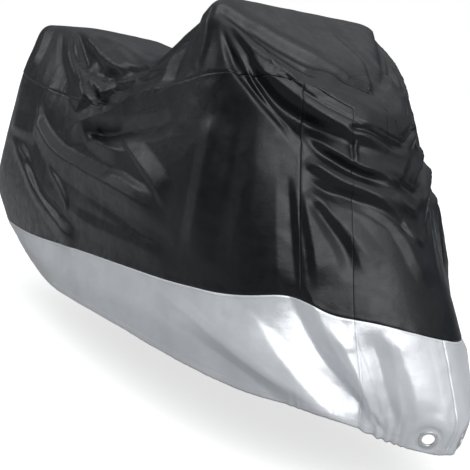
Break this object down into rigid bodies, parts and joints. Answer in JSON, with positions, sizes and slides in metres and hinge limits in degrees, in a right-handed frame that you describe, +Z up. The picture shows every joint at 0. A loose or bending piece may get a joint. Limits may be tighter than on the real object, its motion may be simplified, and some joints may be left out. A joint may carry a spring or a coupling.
{
  "type": "motorcycle cover",
  "caption": "Hollow fitted cover of thin coated cloth with two raised peaks, a seat dip, long drape folds, a pale skirt with gathered hem and metal eyelets at the nose.",
  "frame": {"origin": "the point under the crown at the peaks where what is covered holds the cloth up", "axes": "+X towards the nose, +Y towards the cover's left-hand side, +Z up"},
  "size_m": [2.5039, 0.8373, 1.0873],
  "materials": {
    "dark_cloth": "glossy coated",
    "silver_cloth": "satin silver coated",
    "plated_metal": "plated"
  },
  "bodies": {
    "root": {"crown": "dark_cloth", "side_right": "dark_cloth", "side_left": "dark_cloth", "gore_right": "dark_cloth", "gore_left": "dark_cloth", "skirt_right": "silver_cloth", "skirt_left": "silver_cloth", "skirt_nose_right": "silver_cloth", "skirt_nose_left": "silver_cloth", "eyelet_right": "plated_metal", "eyelet_left": "plated_metal"}
  },
  "joints": []
}
